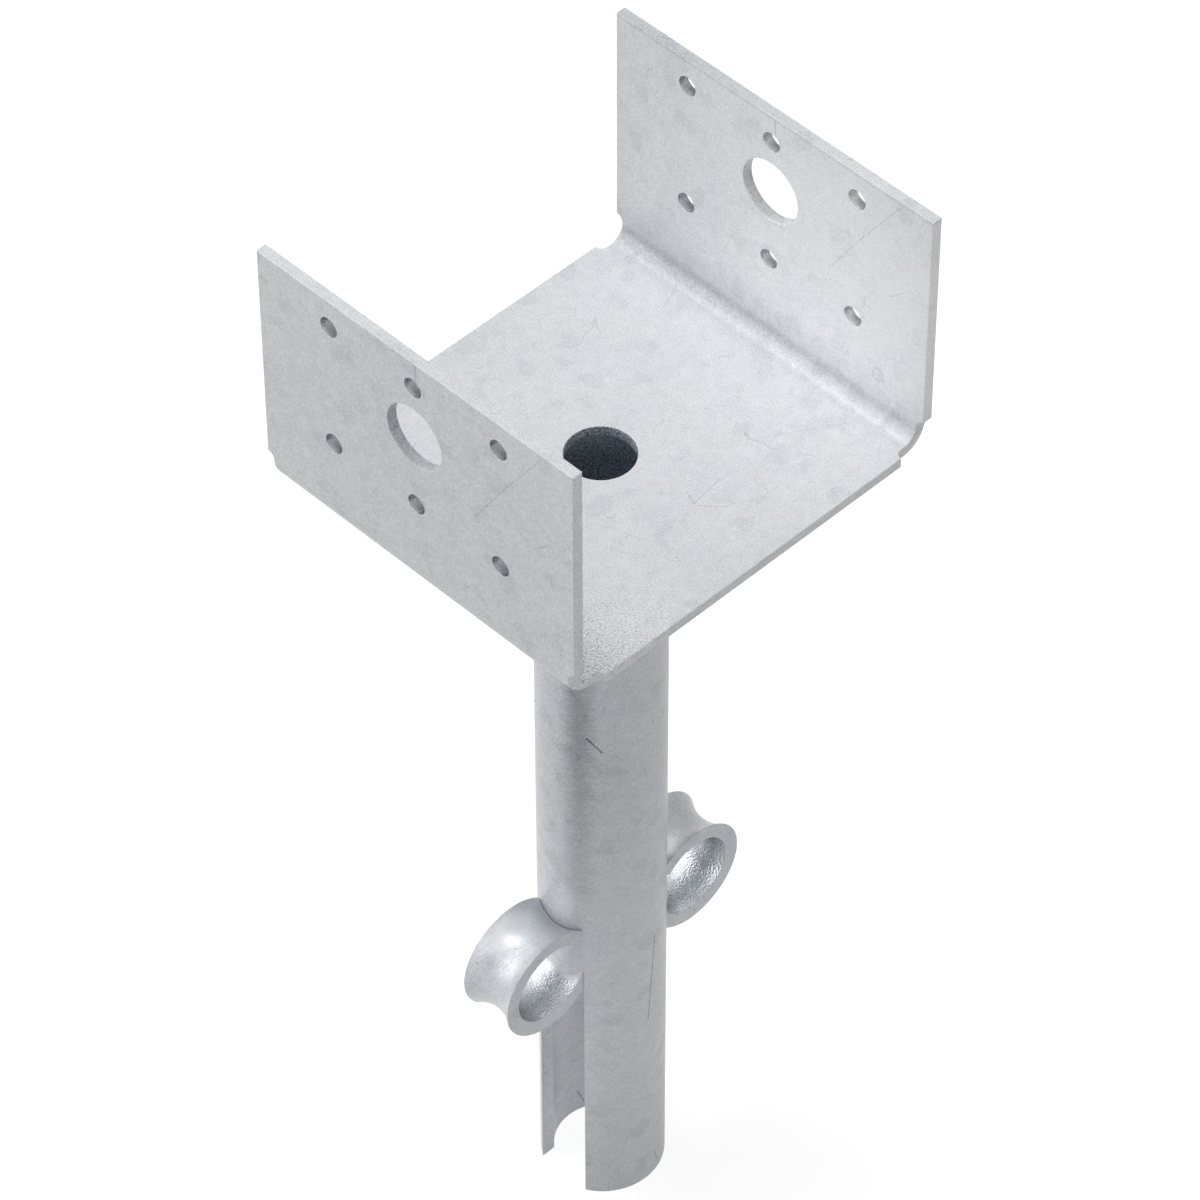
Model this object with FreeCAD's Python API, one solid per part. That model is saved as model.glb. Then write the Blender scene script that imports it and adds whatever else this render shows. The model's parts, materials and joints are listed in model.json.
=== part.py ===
import FreeCAD, Part
import math
import os

# Timber post base for a post that stands on fresh concrete. A steel saddle,
# folded from one sheet, holds the foot of the post. A round pipe is welded
# under it and is cast into the concrete. Two tabs of the pipe wall are rolled
# outwards into loops that key the pipe into the concrete.
#
# Lengths are in millimetres. The origin is on the pipe's axis at the seat,
# the face that the post stands on. +Z is up, X runs from flange to flange,
# and Y runs along the flanges.

Vec = FreeCAD.Vector
UP = Vec(0, 0, 1)
ALONG_X = Vec(1, 0, 0)
ALONG_Y = Vec(0, 1, 0)
SIDES = (-1, 1)

# Saddle: the folded sheet
POST_GAP = 90.5             # inside width between the flanges, for an 89 mm post
SADDLE_LENGTH = 82.55       # along the flanges
FLANGE_HEIGHT = 57.15       # from the seat to the flange's top edge
SHEET = 2.4                 # sheet thickness
BEND_RADIUS = 3.5           # inside radius of both folds
SHEET_EDGE_BREAK = 0.1      # sheared edges, broken and softened by the zinc coat

# Relief notches at the four ends of the folds
NOTCH_DEPTH = 1.6           # into the saddle's length
NOTCH_ON_FLANGE = 1.75      # past the fold, up the flange
NOTCH_ON_SEAT = 2.3         # past the fold, across the seat

# Holes in the saddle
BOLT_HOLE = 14.3            # diameter, one through both flanges
BOLT_DROP = 19.05           # its centre, below the flange's top edge
NAIL_HOLE = 4.3             # diameter
NAIL_COLUMNS = 3
NAIL_PITCH = 22.2           # between the columns
NAILS_ABOVE_BOLT = 12.5     # the upper row, above the bolt hole's centre
NAILS_BELOW_BOLT = 17.6     # the lower row, below it
SEAT_HOLE = 14.3            # diameter, over the pipe's bore

# Pipe
PIPE_DIAMETER = 26.67       # outside
PIPE_WALL = 2.87
PIPE_LENGTH = 208.3         # from the saddle's underside to the pipe's foot
PIPE_EDGE_BREAK = 0.1       # cut edges, broken and softened by the zinc coat

# Loops: two tabs of the pipe wall, each rolled into an open ring
TAB_WIDTH = 12.7
SHEAR_GAP = 0.1             # between a tab and each side of its slot
LOOP_DROP = 134.6           # from the seat to the loops' centres
LOOP_CROWN_RADIUS = 7.85    # inside a loop, at the middle of the tab
LOOP_INSET = 0.64           # how far a loop is drawn in past a tangent bend
LOOP_TIP_ANGLE = 41.0       # the tab's tip, in degrees above the loop's centre
TIP_GAP = 0.15              # between the tab's tip and the pipe wall
ROOT_LAP = 0.1              # wall left above the slot, inside the loop's root

# Weld: one fillet bead between the pipe and the saddle's underside
WELD_LEG = 4.0

# Length that a cutting tool runs past the face it cuts
OVERRUN = 5.0

# Two places closer than this are the same place
CLOSE = 0.001

# Sizes that follow from the ones above
HALF_GAP = POST_GAP / 2
HALF_LENGTH = SADDLE_LENGTH / 2
OUTER_BEND = BEND_RADIUS + SHEET
BOLT_HEIGHT = FLANGE_HEIGHT - BOLT_DROP
PIPE_OUTER = PIPE_DIAMETER / 2
PIPE_INNER = PIPE_OUTER - PIPE_WALL
PIPE_TOP = -SHEET
PIPE_FOOT = PIPE_TOP - PIPE_LENGTH
HALF_TAB = TAB_WIDTH / 2
HALF_SLOT = HALF_TAB + SHEAR_GAP
LOOP_CENTRE_X = PIPE_OUTER + LOOP_CROWN_RADIUS - LOOP_INSET
LOOP_CENTRE_Z = -LOOP_DROP


def tab_outer_x():
    """Distance from the pipe's axis to the tab's side edges, on the outer face."""
    return math.sqrt(PIPE_OUTER ** 2 - HALF_TAB ** 2)


def root_drop():
    """How far below a loop's centre the loop grows out of the pipe wall."""
    rim_radius = LOOP_CROWN_RADIUS + PIPE_OUTER - tab_outer_x()
    reach = LOOP_CENTRE_X - tab_outer_x()
    return math.sqrt(rim_radius ** 2 - reach ** 2) + ROOT_LAP


def fold_profile():
    """Closed outline of the folded sheet across X, as a wire in the plane Y = 0."""
    inner_fold = HALF_GAP - BEND_RADIUS
    half_width = HALF_GAP + SHEET
    diagonal = math.sqrt(0.5)

    def fold_arc(side, radius):
        """Quarter arc of one fold, from the seat up to the flange."""
        centre = Vec(side * inner_fold, 0, BEND_RADIUS)
        foot = centre + Vec(0, 0, -radius)
        middle = centre + Vec(side * radius * diagonal, 0, -radius * diagonal)
        wall = centre + Vec(side * radius, 0, 0)
        return Part.Arc(foot, middle, wall).toShape()

    edges = [fold_arc(side, radius) for side in SIDES for radius in (BEND_RADIUS, OUTER_BEND)]
    for level in (0, -SHEET):
        edges.append(Part.makeLine(Vec(-inner_fold, 0, level), Vec(inner_fold, 0, level)))
    for side in SIDES:
        for wall in (HALF_GAP, half_width):
            low = Vec(side * wall, 0, BEND_RADIUS)
            edges.append(Part.makeLine(low, Vec(side * wall, 0, FLANGE_HEIGHT)))
        top_inner = Vec(side * HALF_GAP, 0, FLANGE_HEIGHT)
        edges.append(Part.makeLine(top_inner, Vec(side * half_width, 0, FLANGE_HEIGHT)))
    return Part.Wire(Part.__sortEdges__(edges))


def folded_sheet():
    """The sheet folded up along both sides, before its notches and holes."""
    sheet = Part.Face(fold_profile()).extrude(ALONG_Y * SADDLE_LENGTH)
    sheet.translate(ALONG_Y * -HALF_LENGTH)
    return sheet


def relief_notch(side, end):
    """Cutter for the notch at one end of one fold.

    Two plates with rounded inner corners, one across the seat and one
    through the flange, meet in the fold.
    """
    outside = end * (HALF_LENGTH + OVERRUN)
    floor = end * (HALF_LENGTH - NOTCH_DEPTH)
    start = HALF_GAP - BEND_RADIUS - NOTCH_ON_SEAT
    top = BEND_RADIUS + NOTCH_ON_FLANGE
    reach = HALF_GAP + SHEET + OVERRUN
    seat_outline = notch_outline(start, reach, outside, floor)
    seat_plate = seat_outline.extrude(Vec(0, 0, SHEET + BEND_RADIUS + OVERRUN))
    seat_plate.translate(Vec(0, 0, -SHEET - OVERRUN))
    flange_outline = notch_outline(-top, SHEET + OVERRUN, outside, floor)
    flange_outline.rotate(Vec(0, 0, 0), ALONG_Y, 90)
    flange_plate = flange_outline.extrude(ALONG_X * (OUTER_BEND + OVERRUN))
    flange_plate.translate(ALONG_X * (HALF_GAP - BEND_RADIUS))
    cutter = seat_plate.fuse(flange_plate)
    if side < 0:
        cutter = cutter.mirror(Vec(0, 0, 0), ALONG_X)
    return cutter


def notch_outline(start, reach, outside, floor):
    """Flat plate in XY with a quarter round where its end meets the notch's floor."""
    inward = math.copysign(1, outside)
    shoulder = floor + inward * NOTCH_DEPTH
    diagonal = math.sqrt(0.5)
    centre = Vec(start + NOTCH_DEPTH, shoulder, 0)
    bulge = centre + Vec(-NOTCH_DEPTH * diagonal, -inward * NOTCH_DEPTH * diagonal, 0)
    corner = Part.Arc(Vec(start, shoulder, 0), bulge, Vec(start + NOTCH_DEPTH, floor, 0))
    corners = [Vec(start + NOTCH_DEPTH, floor, 0), Vec(reach, floor, 0),
               Vec(reach, outside, 0), Vec(start, outside, 0), Vec(start, shoulder, 0)]
    sides = [Part.makeLine(a, b) for a, b in zip(corners, corners[1:])]
    return Part.Face(Part.Wire([corner.toShape()] + sides))


def hole_through_flanges(diameter, y, z):
    """Cutter for a round hole through both flanges."""
    reach = HALF_GAP + SHEET + OVERRUN
    return Part.makeCylinder(diameter / 2, 2 * reach, Vec(-reach, y, z), ALONG_X)


def flange_holes():
    """Cutters for the bolt hole and for the rows of nail holes above and below it."""
    holes = [hole_through_flanges(BOLT_HOLE, 0, BOLT_HEIGHT)]
    first_column = -NAIL_PITCH * (NAIL_COLUMNS - 1) / 2
    for row_height in (BOLT_HEIGHT - NAILS_BELOW_BOLT, BOLT_HEIGHT + NAILS_ABOVE_BOLT):
        for column in range(NAIL_COLUMNS):
            y = first_column + column * NAIL_PITCH
            holes.append(hole_through_flanges(NAIL_HOLE, y, row_height))
    return holes


def seat_hole():
    """Cutter for the hole in the seat, over the pipe's bore."""
    depth = SHEET + 2 * OVERRUN
    return Part.makeCylinder(SEAT_HOLE / 2, depth, Vec(0, 0, OVERRUN), -UP)


def depth_in_sheet(point):
    """Depth of a point below the skin that faces the post."""
    side = abs(point.x) - (HALF_GAP - BEND_RADIUS)
    if side <= 0:
        return -point.z
    if point.z >= BEND_RADIUS:
        return side - BEND_RADIUS
    return math.hypot(side, BEND_RADIUS - point.z) - BEND_RADIUS


def is_fold_line(edge):
    """True for the lines where a fold runs out into the flat sheet."""
    whole_length = edge.BoundBox.YLength > SADDLE_LENGTH - 2 * NOTCH_DEPTH - CLOSE
    return whole_length and edge.BoundBox.ZMax < BEND_RADIUS + CLOSE


def sheared_edges(sheet):
    """Edges where either skin of the sheet meets a cut face, at outlines and holes."""
    edges = []
    for edge in sheet.Edges:
        middle = edge.valueAt((edge.FirstParameter + edge.LastParameter) / 2)
        depth = depth_in_sheet(middle)
        on_skin = min(abs(depth), abs(depth - SHEET)) < CLOSE
        if on_skin and not is_fold_line(edge):
            edges.append(edge)
    return edges


def saddle():
    """The folded sheet with its notches, its holes and its broken edges."""
    notches = [relief_notch(side, end) for side in SIDES for end in SIDES]
    sheet = folded_sheet().cut(notches + flange_holes() + [seat_hole()])
    return sheet.makeChamfer(SHEET_EDGE_BREAK, sheared_edges(sheet)).Solids[0]


def wall_point(wall_radius, y):
    """Point on one face of the pipe wall, on the -X side, at a distance across the tab."""
    return Vec(-math.sqrt(wall_radius ** 2 - y ** 2), y, 0)


def tab_section():
    """Section of one tab as it leaves the pipe wall on the -X side.

    It is the stretch of the pipe's ring between the tab's two side edges,
    with broken corners, drawn in towards the pipe's axis by the loop's inset.
    """
    edges = []
    side_ends = {side: [] for side in SIDES}
    for wall_radius, into_wall in ((PIPE_OUTER, PIPE_EDGE_BREAK), (PIPE_INNER, -PIPE_EDGE_BREAK)):
        face_ends = []
        for side in SIDES:
            on_face = wall_point(wall_radius, side * (HALF_TAB - PIPE_EDGE_BREAK))
            on_side = wall_point(wall_radius, side * HALF_TAB) + Vec(into_wall, 0, 0)
            edges.append(Part.makeLine(on_face, on_side))
            face_ends.append(on_face)
            side_ends[side].append(on_side)
        face = Part.Arc(face_ends[0], wall_point(wall_radius, 0), face_ends[1])
        edges.append(face.toShape())
    edges += [Part.makeLine(*side_ends[side]) for side in SIDES]
    section = Part.Face(Part.Wire(Part.__sortEdges__(edges)))
    section.translate(Vec(LOOP_INSET, 0, LOOP_CENTRE_Z))
    return section


def rolled_loop():
    """The -X tab rolled down, out and back over until its tip meets the pipe."""
    centre = Vec(-LOOP_CENTRE_X, 0, LOOP_CENTRE_Z)
    loop = tab_section().revolve(centre, ALONG_Y, 360 - LOOP_TIP_ANGLE)
    bore = Part.makeCylinder(PIPE_INNER, PIPE_LENGTH, Vec(0, 0, PIPE_FOOT), UP)
    tip_room = Part.makeCylinder(PIPE_OUTER + TIP_GAP, LOOP_DROP, Vec(0, 0, LOOP_CENTRE_Z), UP)
    return loop.cut([bore, tip_room])


def slot_and_foot_edges(pipe):
    """The sheared sides of the slots and the sawn edges at the pipe's foot."""
    edges = []
    for edge in pipe.Edges:
        box = edge.BoundBox
        at_slot = abs(abs(edge.CenterOfMass.y) - HALF_SLOT) < CLOSE
        along_slot = at_slot and box.ZLength > PIPE_WALL
        along_foot = box.ZMax < PIPE_FOOT + CLOSE and box.XLength > PIPE_WALL + TAB_WIDTH / 2
        if along_slot or along_foot:
            edges.append(edge)
    return edges


def slotted_pipe():
    """The pipe with the two open slots that the tabs were sheared from."""
    pipe = Part.makeCylinder(PIPE_OUTER, PIPE_LENGTH, Vec(0, 0, PIPE_FOOT), UP)
    bore = Part.makeCylinder(PIPE_INNER, PIPE_LENGTH, Vec(0, 0, PIPE_FOOT), UP)
    slot_top = LOOP_CENTRE_Z - root_drop()
    foot = PIPE_FOOT - OVERRUN
    width = 2 * (PIPE_OUTER + OVERRUN)
    slots = Part.makeBox(width, 2 * HALF_SLOT, slot_top - foot, Vec(-width / 2, -HALF_SLOT, foot))
    pipe = pipe.cut([bore, slots])
    return pipe.makeChamfer(PIPE_EDGE_BREAK, slot_and_foot_edges(pipe))


def anchor_pipe():
    """The slotted pipe with its two rolled loops, all one piece of steel."""
    loop = rolled_loop()
    other = loop.mirror(Vec(0, 0, 0), ALONG_X)
    pipe = slotted_pipe().fuse([loop, other])
    return pipe.removeSplitter().Solids[0]


def weld_bead():
    """The fillet bead round the pipe, under the seat."""
    root = Vec(PIPE_OUTER, 0, PIPE_TOP)
    on_plate = root + Vec(WELD_LEG, 0, 0)
    on_pipe = root + Vec(0, 0, -WELD_LEG)
    outline = Part.makePolygon([root, on_plate, on_pipe, root])
    return Part.Face(outline).revolve(Vec(0, 0, 0), UP, 360)


def main():
    """Write each piece to its own STEP file."""
    os.makedirs("parts", exist_ok=True)
    pieces = {"saddle": saddle(), "anchor_pipe": anchor_pipe(), "weld_bead": weld_bead()}
    for name, shape in pieces.items():
        print(name, "valid", shape.isValid(), "solids", len(shape.Solids), "volume", round(shape.Volume, 1))
        shape.exportStep(os.path.join("parts", name + ".step"))


main()
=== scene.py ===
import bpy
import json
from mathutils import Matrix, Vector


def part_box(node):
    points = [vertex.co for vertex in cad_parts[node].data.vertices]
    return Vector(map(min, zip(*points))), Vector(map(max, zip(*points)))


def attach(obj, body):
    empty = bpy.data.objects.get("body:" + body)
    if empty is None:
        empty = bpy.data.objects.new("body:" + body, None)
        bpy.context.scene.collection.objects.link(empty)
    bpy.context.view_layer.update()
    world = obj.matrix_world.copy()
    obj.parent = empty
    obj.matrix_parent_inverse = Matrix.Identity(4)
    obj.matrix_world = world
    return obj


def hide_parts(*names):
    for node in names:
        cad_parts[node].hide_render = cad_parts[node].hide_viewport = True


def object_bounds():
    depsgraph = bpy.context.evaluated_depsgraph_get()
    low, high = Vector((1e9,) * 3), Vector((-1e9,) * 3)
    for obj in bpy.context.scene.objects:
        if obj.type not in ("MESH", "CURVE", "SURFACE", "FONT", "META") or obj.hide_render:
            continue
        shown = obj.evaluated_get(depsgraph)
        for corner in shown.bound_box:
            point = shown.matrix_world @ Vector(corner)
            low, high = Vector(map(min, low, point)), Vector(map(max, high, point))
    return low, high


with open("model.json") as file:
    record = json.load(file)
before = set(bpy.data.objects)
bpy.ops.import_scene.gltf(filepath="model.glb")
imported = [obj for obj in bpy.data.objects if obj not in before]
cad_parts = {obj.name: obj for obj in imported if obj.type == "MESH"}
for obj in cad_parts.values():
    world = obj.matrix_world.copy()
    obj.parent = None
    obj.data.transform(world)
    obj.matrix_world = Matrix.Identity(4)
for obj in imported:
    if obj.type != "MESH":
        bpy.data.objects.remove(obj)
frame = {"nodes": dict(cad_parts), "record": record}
CAD_BOX = [list(corner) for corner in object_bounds()]

# Timber post base in hot-dip galvanised steel: a folded saddle on a slotted
# pipe whose two tabs are rolled into loops. The frame gives the shapes and
# the places of the holes. The weld bead is built here, from the frame's own.
# The saddle's near corner, as the camera sees it, is at -X and -Y. Lengths in
# the dataclasses are in millimetres, angles in degrees. Azimuths turn from
# -Y, the front, towards +X.

import json
import logging
import math
from abc import ABC, abstractmethod
from dataclasses import dataclass
from enum import Enum
from typing import Any

import bpy
from mathutils import Matrix, Vector

Tree = bpy.types.NodeTree
Socket = bpy.types.NodeSocket
Point = tuple[float, float, float]

LOG = logging.getLogger("post_base")
MM = 0.001
MOUNTS = {mount["name"]: mount for mount in frame["record"]["mounts"]}
PIPE_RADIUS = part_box("anchor_pipe")[1].y / MM
MID_WALL = 1.4              # from the pipe's outer face to the middle of its wall

# The numbers of a colour Mix node's two colours and of its result
MIX_FROM, MIX_TO, MIX_RESULT = 6, 7, 2


def linear_rgba(hex_colour: str) -> tuple[float, float, float, float]:
    """Turn an sRGB hex colour into Blender's linear RGBA.

    Args:
        hex_colour: the colour as #rrggbb.

    Returns:
        Red, green and blue as linear light, and an alpha of 1.
    """
    def channel(start: int) -> float:
        """Linear value of the two hex digits at this place, by the sRGB curve."""
        value = int(hex_colour[start:start + 2], 16) / 255
        return value / 12.92 if value <= 0.04045 else ((value + 0.055) / 1.055) ** 2.4
    return channel(1), channel(3), channel(5), 1.0


def direction(azimuth: float, elevation: float) -> Vector:
    """Find the way to an azimuth and an elevation.

    Args:
        azimuth: degrees from -Y towards +X.
        elevation: degrees above level.

    Returns:
        A vector of length 1.
    """
    turn, rise = math.radians(azimuth), math.radians(elevation)
    level = math.cos(rise)
    return Vector((math.sin(turn) * level, -math.cos(turn) * level, math.sin(rise)))


def add_node(
    tree: Tree, kind: str, inputs: dict[str | int, Any] | None = None, **settings: Any
) -> bpy.types.Node:
    """Add a node, with its settings, its values and its links.

    Args:
        tree: the node tree that gets the node.
        kind: the node's type, as Blender names it.
        inputs: what each input gets, by name or number: a socket to link, or a value.
        settings: the node's own properties.

    Returns:
        The new node.
    """
    node = tree.nodes.new(kind)
    for name, value in settings.items():
        setattr(node, name, value)
    for key, value in (inputs or {}).items():
        if isinstance(value, Socket):
            tree.links.new(value, node.inputs[key])
        else:
            node.inputs[key].default_value = value
    return node


def from_axis(tree: Tree, place: Socket) -> Socket:
    """Measure how far a point lies from the pipe's axis.

    Args:
        tree: the material's tree.
        place: the point's place, in millimetres.

    Returns:
        The distance, in millimetres.
    """
    level = add_node(tree, "ShaderNodeVectorMath", {
        0: place, 1: (1.0, 1.0, 0.0),
    }, operation="MULTIPLY").outputs[0]
    return add_node(tree, "ShaderNodeVectorMath", {0: level}, operation="LENGTH").outputs["Value"]


def add_up(tree: Tree, start: Socket | float, parts: list[tuple[Socket, float]]) -> Socket | float:
    """Add each mask's share to a number.

    Args:
        tree: the material's tree.
        start: the number where every mask is 0.
        parts: each mask, and what it adds.

    Returns:
        The sum, or the number itself where nothing is added.
    """
    total = start
    for mask, share in parts:
        if share:
            total = add_node(tree, "ShaderNodeMath", {
                0: mask, 1: share, 2: total,
            }, operation="MULTIPLY_ADD").outputs[0]
    return total


class Spread(Enum):
    """The surface that a mark lies on, as the axes that its place keeps.

    The mark shows on every wall at that place, such as on both flanges.
    """

    FLANGES = (0.0, 1.0, 1.0)
    SEAT = (1.0, 1.0, 0.0)
    PIPE_FRONT = (1.0, 0.0, 1.0)


@dataclass(frozen=True)
class Scratch:
    """A hair scratch, drawn as straight runs through its points."""

    spread: Spread
    points: tuple[Point, ...]
    width: float = 0.16         # of its full line, which fades out over half as much each side
    depth: float = 0.5          # how much darker it is, in tone

    def masks(self, tree: Tree, place: Socket) -> list[Socket]:
        """Draw the runs.

        Args:
            tree: the material's tree.
            place: the point's place, in millimetres.

        Returns:
            A mask for each run, 1 on its line, in the order of the runs.
        """
        flat = add_node(tree, "ShaderNodeVectorMath", {
            0: place, 1: self.spread.value,
        }, operation="MULTIPLY").outputs[0]
        masks = []
        for start, end in zip(self.points, self.points[1:]):
            run = Vector(end) - Vector(start)
            offset = add_node(tree, "ShaderNodeVectorMath", {
                0: flat, 1: start,
            }, operation="SUBTRACT").outputs[0]
            along = add_node(tree, "ShaderNodeVectorMath", {
                0: offset, 1: run / run.length_squared,
            }, operation="DOT_PRODUCT").outputs["Value"]
            held = add_node(tree, "ShaderNodeClamp", {"Value": along}).outputs[0]
            nearest = add_node(tree, "ShaderNodeVectorMath", {
                0: run, "Scale": held,
            }, operation="SCALE").outputs[0]
            away = add_node(tree, "ShaderNodeVectorMath", {
                0: offset, 1: nearest,
            }, operation="DISTANCE").outputs["Value"]
            masks.append(add_node(tree, "ShaderNodeMapRange", {
                "Value": away, "From Min": self.width / 2, "From Max": self.width,
                "To Min": 1.0, "To Max": 0.0,
            }).outputs[0])
        return masks


SADDLE_SCRATCHES = (
    Scratch(Spread.FLANGES, ((0, -0.9, 56.7), (0, -1.0, 52.6)), width=0.2, depth=0.7),
    Scratch(Spread.FLANGES, ((0, -33.0, 55.6), (0, -23.5, 41.4), (0, -15.8, 28.9))),
    Scratch(Spread.FLANGES, ((0, -22.0, 36.5), (0, -17.9, 33.0)), depth=0.25),
    Scratch(Spread.FLANGES, ((0, 10.3, 19.4), (0, 11.0, 16.6), (0, 12.4, 14.2)), depth=0.35),
    Scratch(Spread.FLANGES, ((0, -34.7, 35.1), (0, -31.3, 31.8)), width=0.2),
    Scratch(Spread.FLANGES, ((0, -13.5, 8.8), (0, -11.7, 6.6)), width=0.2, depth=0.45),
    Scratch(Spread.FLANGES, ((0, -6.6, 52.3), (0, -8.6, 54.8)), depth=0.35),
    Scratch(Spread.FLANGES, ((0, -2.9, 7.2), (0, -3.7, 3.9)), depth=0.4),
    Scratch(Spread.SEAT, ((4.3, -18.7, 0), (3.1, -21.9, 0), (11.2, -20.8, 0)), width=0.18),
    Scratch(
        Spread.SEAT,
        ((3.1, -22.5, 0), (6.7, -26.8, 0), (8.4, -27.2, 0), (8.3, -26.0, 0), (6.6, -24.5, 0)),
        depth=0.4,
    ),
    Scratch(Spread.SEAT, ((20.6, -16.0, 0), (42.3, -29.6, 0)), width=0.14, depth=0.25),
    Scratch(
        Spread.SEAT, ((-14.7, -11.5, 0), (-13.0, -14.6, 0), (-10.4, -22.3, 0)), width=0.14, depth=0.22
    ),
    Scratch(Spread.SEAT, ((-33.6, -32.9, 0), (-36.6, -36.3, 0)), width=0.18, depth=0.4),
    Scratch(Spread.SEAT, ((42.2, 21.7, 0), (33.5, 18.6, 0)), depth=0.3),
)

PIPE_SCRATCHES = (
    Scratch(Spread.PIPE_FRONT, ((2.2, 0, -132.5), (0.2, 0, -157.7)), width=0.2, depth=1.2),
    Scratch(Spread.PIPE_FRONT, ((-11.2, 0, -66.7), (-9.3, 0, -70.5)), width=0.2, depth=1.4),
    Scratch(Spread.PIPE_FRONT, ((2.4, 0, -204.2), (3.9, 0, -208.4)), width=0.2, depth=1.2),
)


@dataclass(frozen=True)
class Ripple:
    """One grain size of the zinc's clouding."""

    size: float
    tone: float
    detail: float = 3.0
    fineness: float = 0.62      # how much of each finer grain shows

    def noise(self, tree: Tree, place: Socket) -> Socket:
        """Noise of this grain size, about 0.5."""
        return add_node(tree, "ShaderNodeTexNoise", {
            "Vector": place, "Scale": 1 / self.size, "Detail": self.detail, "Roughness": self.fineness,
        }).outputs[0]


@dataclass(frozen=True, kw_only=True)
class Area(ABC):
    """A part of the surface where the zinc came out another way, or where light or shade is painted into the
    colour.

    Its numbers are what it adds to the finish's own where its mask is 1.
    """

    tone: float = 0.0
    metallic: float = 0.0
    roughness: float = 0.0
    peel_height: float = 0.0
    speckle: float = 0.0
    cool: float = 0.0           # how much of the finish's cool filter lies over it

    @abstractmethod
    def mask(self, tree: Tree, place: Socket) -> Socket:
        """Mark out the area.

        Args:
            tree: the material's tree.
            place: the point's place, in millimetres.

        Returns:
            A socket that gives 1 inside the area and 0 outside.
        """


@dataclass(frozen=True, kw_only=True)
class PaintedReflectionBand(Area):
    """A painted dark reflection down the pipe's front: a soft dull band with dragged edges."""

    azimuth: float = -65.0
    half_angle: float = 21.0
    low: float = -150.0         # the height where it has faded out
    fade: float = 94.0          # from there up to where it is full
    drag: float = 3.0           # grain of its edges, round the pipe
    drag_height: float = 0.3    # and up the pipe
    drag_angle: float = 10.0    # how far its edges stray, in degrees each way

    def mask(self, tree: Tree, place: Socket) -> Socket:
        """Mark out the band.

        Args:
            tree: the material's tree.
            place: the point's place, in millimetres.

        Returns:
            A socket that gives 1 in the middle of the band, above the loops.
        """
        side = add_node(tree, "ShaderNodeVectorMath", {
            0: place, 1: direction(self.azimuth + 90, 0),
        }, operation="DOT_PRODUCT").outputs["Value"]
        ahead = add_node(tree, "ShaderNodeVectorMath", {
            0: place, 1: direction(self.azimuth, 0),
        }, operation="DOT_PRODUCT").outputs["Value"]
        turn = add_node(tree, "ShaderNodeMath", {0: side, 1: ahead}, operation="ARCTAN2").outputs[0]
        away = add_node(tree, "ShaderNodeMath", {0: turn}, operation="ABSOLUTE").outputs[0]
        stretched = add_node(tree, "ShaderNodeVectorMath", {
            0: place, 1: (1 / self.drag, 1 / self.drag, 1 / self.drag_height),
        }, operation="MULTIPLY").outputs[0]
        dragged = add_node(tree, "ShaderNodeTexNoise", {
            "Vector": stretched, "Scale": 1.0, "Detail": 3.0,
        }).outputs[0]
        swing = math.radians(self.drag_angle)
        strayed = add_node(tree, "ShaderNodeMath", {
            0: dragged, 1: 2 * swing, 2: -swing,
        }, operation="MULTIPLY_ADD").outputs[0]
        ragged = add_node(tree, "ShaderNodeMath", {0: away, 1: strayed}, operation="ADD").outputs[0]
        near = add_node(tree, "ShaderNodeMapRange", {
            "Value": ragged, "From Min": 0.0, "From Max": math.radians(self.half_angle),
            "To Min": 1.0, "To Max": 0.0,
        }, interpolation_type="SMOOTHSTEP").outputs[0]
        height = add_node(tree, "ShaderNodeSeparateXYZ", {"Vector": place}).outputs["Z"]
        above = add_node(tree, "ShaderNodeMapRange", {
            "Value": height, "From Min": self.low, "From Max": self.low + self.fade,
        }, interpolation_type="SMOOTHSTEP").outputs[0]
        return add_node(tree, "ShaderNodeMath", {0: near, 1: above}, operation="MULTIPLY").outputs[0]


@dataclass(frozen=True, kw_only=True)
class Pool(Area):
    """A soft-edged spot or strip that is painted brighter or darker, as painted light or shade, or where the
    zinc set coarser.
    """

    middle: Point
    reach: Point                # half the spot's size along each axis

    def mask(self, tree: Tree, place: Socket) -> Socket:
        """Mark out the spot.

        Args:
            tree: the material's tree.
            place: the point's place, in millimetres.

        Returns:
            A socket that gives 1 at the spot's middle and fades to 0 at its reach.
        """
        offset = add_node(tree, "ShaderNodeVectorMath", {
            0: place, 1: self.middle,
        }, operation="SUBTRACT").outputs[0]
        scaled = add_node(tree, "ShaderNodeVectorMath", {
            0: offset, 1: self.reach,
        }, operation="DIVIDE").outputs[0]
        away = add_node(tree, "ShaderNodeVectorMath", {
            0: scaled,
        }, operation="LENGTH").outputs["Value"]
        return add_node(tree, "ShaderNodeMapRange", {
            "Value": away, "To Min": 1.0, "To Max": 0.0,
        }, interpolation_type="SMOOTHSTEP").outputs[0]


@dataclass(frozen=True, kw_only=True)
class Bore(Area):
    """Painted shade on the pipe's inside above the slots: darker, blue-grey and speckled."""

    slot_top: float = -126.0
    fade: float = 6.0           # from the slots' tops up to where it is full

    def mask(self, tree: Tree, place: Socket) -> Socket:
        """Mark out the inner wall above the slots.

        Args:
            tree: the material's tree.
            place: the point's place, in millimetres.

        Returns:
            A socket that gives 1 on the inner wall above the slots.
        """
        inside = add_node(tree, "ShaderNodeMath", {
            0: from_axis(tree, place), 1: PIPE_RADIUS - MID_WALL,
        }, operation="LESS_THAN").outputs[0]
        height = add_node(tree, "ShaderNodeSeparateXYZ", {"Vector": place}).outputs["Z"]
        above = add_node(tree, "ShaderNodeMapRange", {
            "Value": height, "From Min": self.slot_top, "From Max": self.slot_top + self.fade,
        }, interpolation_type="SMOOTHSTEP").outputs[0]
        return add_node(tree, "ShaderNodeMath", {0: inside, 1: above}, operation="MULTIPLY").outputs[0]


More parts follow.
